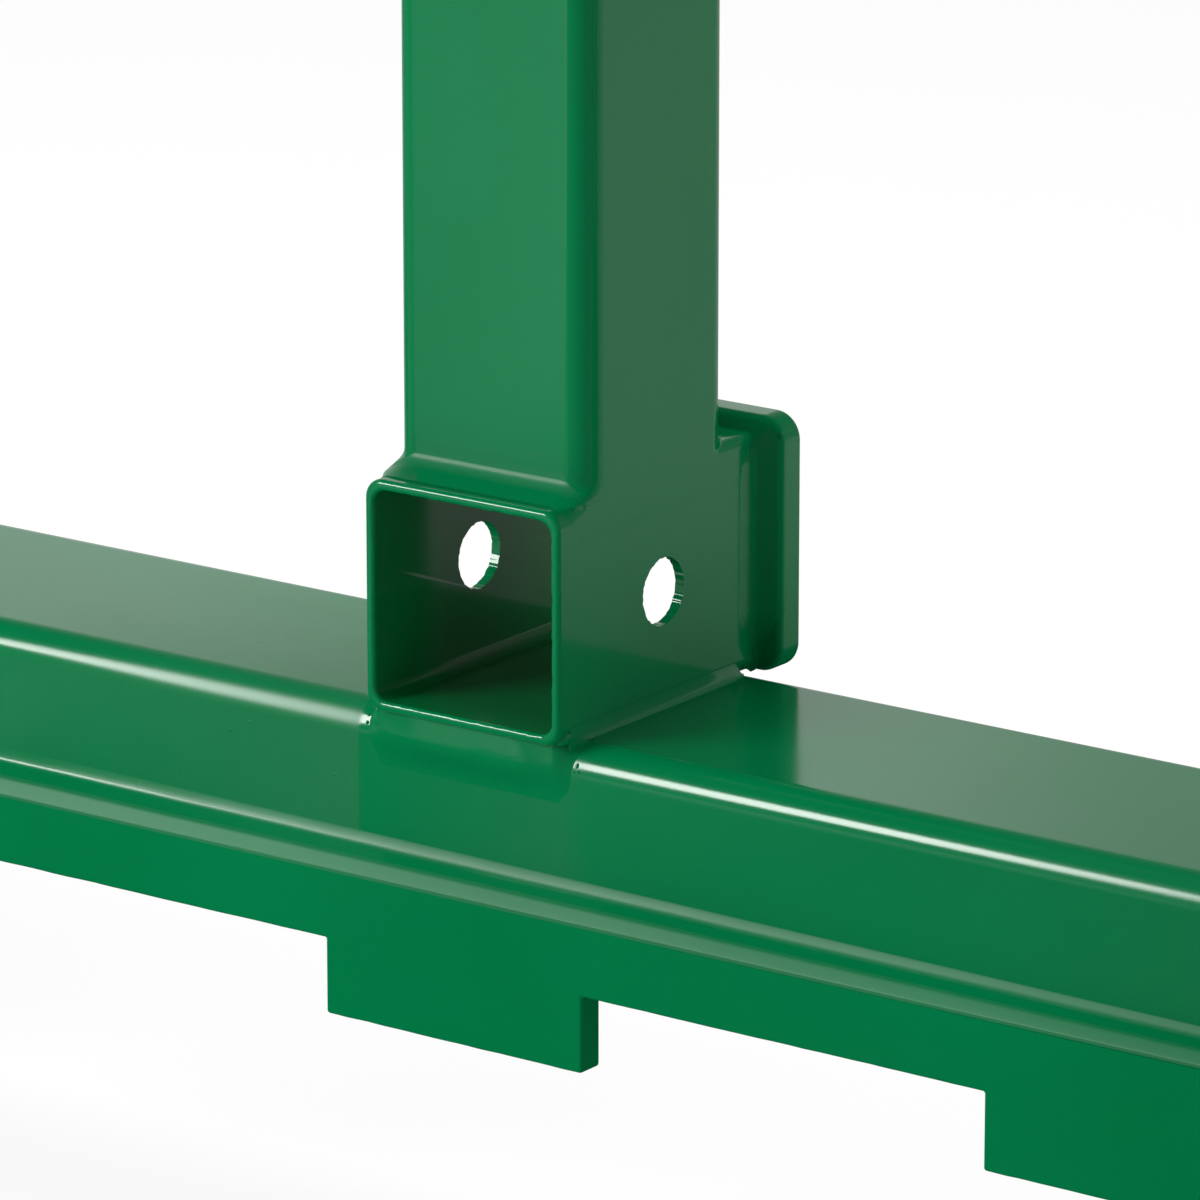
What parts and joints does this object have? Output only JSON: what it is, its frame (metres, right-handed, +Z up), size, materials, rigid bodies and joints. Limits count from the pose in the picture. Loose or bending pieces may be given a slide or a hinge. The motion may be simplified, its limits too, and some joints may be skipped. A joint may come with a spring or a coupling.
{
  "type": "quick attach pallet fork",
  "caption": "Welded pallet fork carriage with notched bars, a hitch receiver, rear hook and pin ears, and hook-on forks.",
  "frame": {"origin": "on the ground under the middle of the attachment's overall length and width", "axes": "+X to the right of someone facing the load side, +Y towards the loader, so the forks point to -Y, +Z up"},
  "size_m": [1.168, 1.264, 0.531],
  "materials": {
    "green_paint": "gloss",
    "black_paint": "satin",
    "zinc": "satin"
  },
  "bodies": {
    "root": {"lower_rail": "green_paint", "lower_notched_bar": "green_paint", "lower_bar_weld": "green_paint", "lower_left_end_cap": "green_paint", "lower_right_end_cap": "green_paint", "receiver_tube": "green_paint", "receiver_collar": "green_paint", "receiver_front_weld": "green_paint", "receiver_side_welds": "green_paint", "receiver_collar_weld": "green_paint", "centre_post": "green_paint", "post_foot_weld": "green_paint", "post_head_weld": "green_paint", "left_end_post": "green_paint", "right_end_post": "green_paint", "top_rail": "green_paint", "top_notched_bar": "green_paint", "top_bar_weld": "green_paint", "top_left_end_cap": "green_paint", "top_right_end_cap": "green_paint", "left_inner_ear": "green_paint", "left_outer_ear": "green_paint", "right_inner_ear": "green_paint", "right_outer_ear": "green_paint", "left_hook_bar": "green_paint", "right_hook_bar": "green_paint", "left_fork": "black_paint", "right_fork": "black_paint", "left_top_hook": "black_paint", "right_top_hook": "black_paint", "left_bottom_hook": "black_paint", "right_bottom_hook": "black_paint", "left_lock_pin": "zinc", "right_lock_pin": "zinc"}
  },
  "joints": []
}
